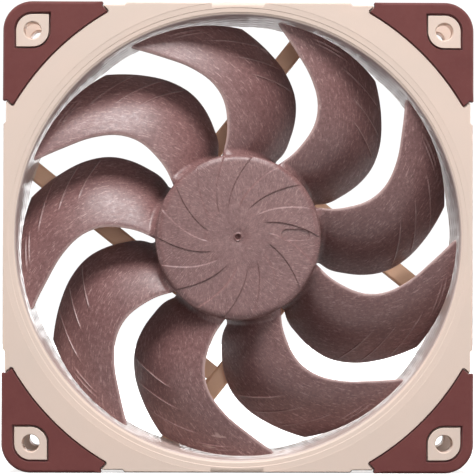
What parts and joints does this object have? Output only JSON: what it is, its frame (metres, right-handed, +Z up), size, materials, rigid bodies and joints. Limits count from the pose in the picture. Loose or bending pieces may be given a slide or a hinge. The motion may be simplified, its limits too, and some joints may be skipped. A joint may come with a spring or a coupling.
{
  "type": "case fan",
  "caption": "Axial cooling fan for a computer case: square frame with soft corner pads, swept-blade impeller on a motor hub, carried by tangential struts.",
  "frame": {"origin": "on the spin axis, half way through the fan's depth and at the centre of its square frame", "axes": "+Y along the spin axis from intake to exhaust, +Z up, +X to the right as seen from the intake side"},
  "size_m": [0.12, 0.025, 0.12],
  "materials": {
    "frame_plastic": "fine satin moulding, warm beige",
    "pad_rubber": "soft matte silicone, dark red-brown",
    "impeller_plastic": "fibre-filled satin moulding, mauve brown, faint flow marks",
    "yoke_steel": "drawn steel, nickel plated",
    "shaft_steel": "ground steel",
    "laminated_steel": "stacked stampings with visible edges",
    "magnet": "bonded ferrite",
    "brass": "turned",
    "bronze": "sintered, oil filled",
    "polymer": "natural nylon",
    "insulator_plastic": "natural moulding",
    "copper_wire": "enamelled copper wire, wound in layers",
    "circuit_board": "green solder resist with tracks",
    "chip_resin": "moulded black resin",
    "chip_ceramic": "fired ceramic with tinned ends",
    "label_film": "plain printed film, no lettering"
  },
  "bodies": {
    "housing": {"frame": "frame_plastic", "pad_front_top_right": "pad_rubber", "pad_front_top_left": "pad_rubber", "pad_front_bottom_left": "pad_rubber", "pad_front_bottom_right": "pad_rubber", "pad_rear_top_right": "pad_rubber", "pad_rear_top_left": "pad_rubber", "pad_rear_bottom_left": "pad_rubber", "pad_rear_bottom_right": "pad_rubber", "rear_label": "label_film", "cable_gland": "pad_rubber", "bearing_shell": "brass", "sleeve_bearing": "bronze", "oil_seal": "polymer", "thrust_washer": "polymer", "stator_core": "laminated_steel", "insulator_front": "insulator_plastic", "insulator_rear": "insulator_plastic", "coil_1": "copper_wire", "coil_2": "copper_wire", "coil_3": "copper_wire", "coil_4": "copper_wire", "circuit_board": "circuit_board", "terminal_pin_1": "shaft_steel", "terminal_pin_2": "shaft_steel", "terminal_pin_3": "shaft_steel", "driver_chip": "chip_resin", "hall_sensor": "chip_resin", "capacitor_1": "chip_ceramic", "capacitor_2": "chip_ceramic", "resistor_1": "chip_resin", "resistor_2": "chip_resin"},
    "rotor": {"impeller": "impeller_plastic", "rotor_yoke": "yoke_steel", "magnet_ring": "magnet", "shaft_boss": "brass", "shaft": "shaft_steel", "retaining_clip": "shaft_steel"}
  },
  "joints": [
    {"name": "impeller_spin", "type": "hinge", "parent": "housing", "child": "rotor", "pos_m": [0, 0, 0], "axis": [0, -1, 0], "continuous": true}
  ]
}
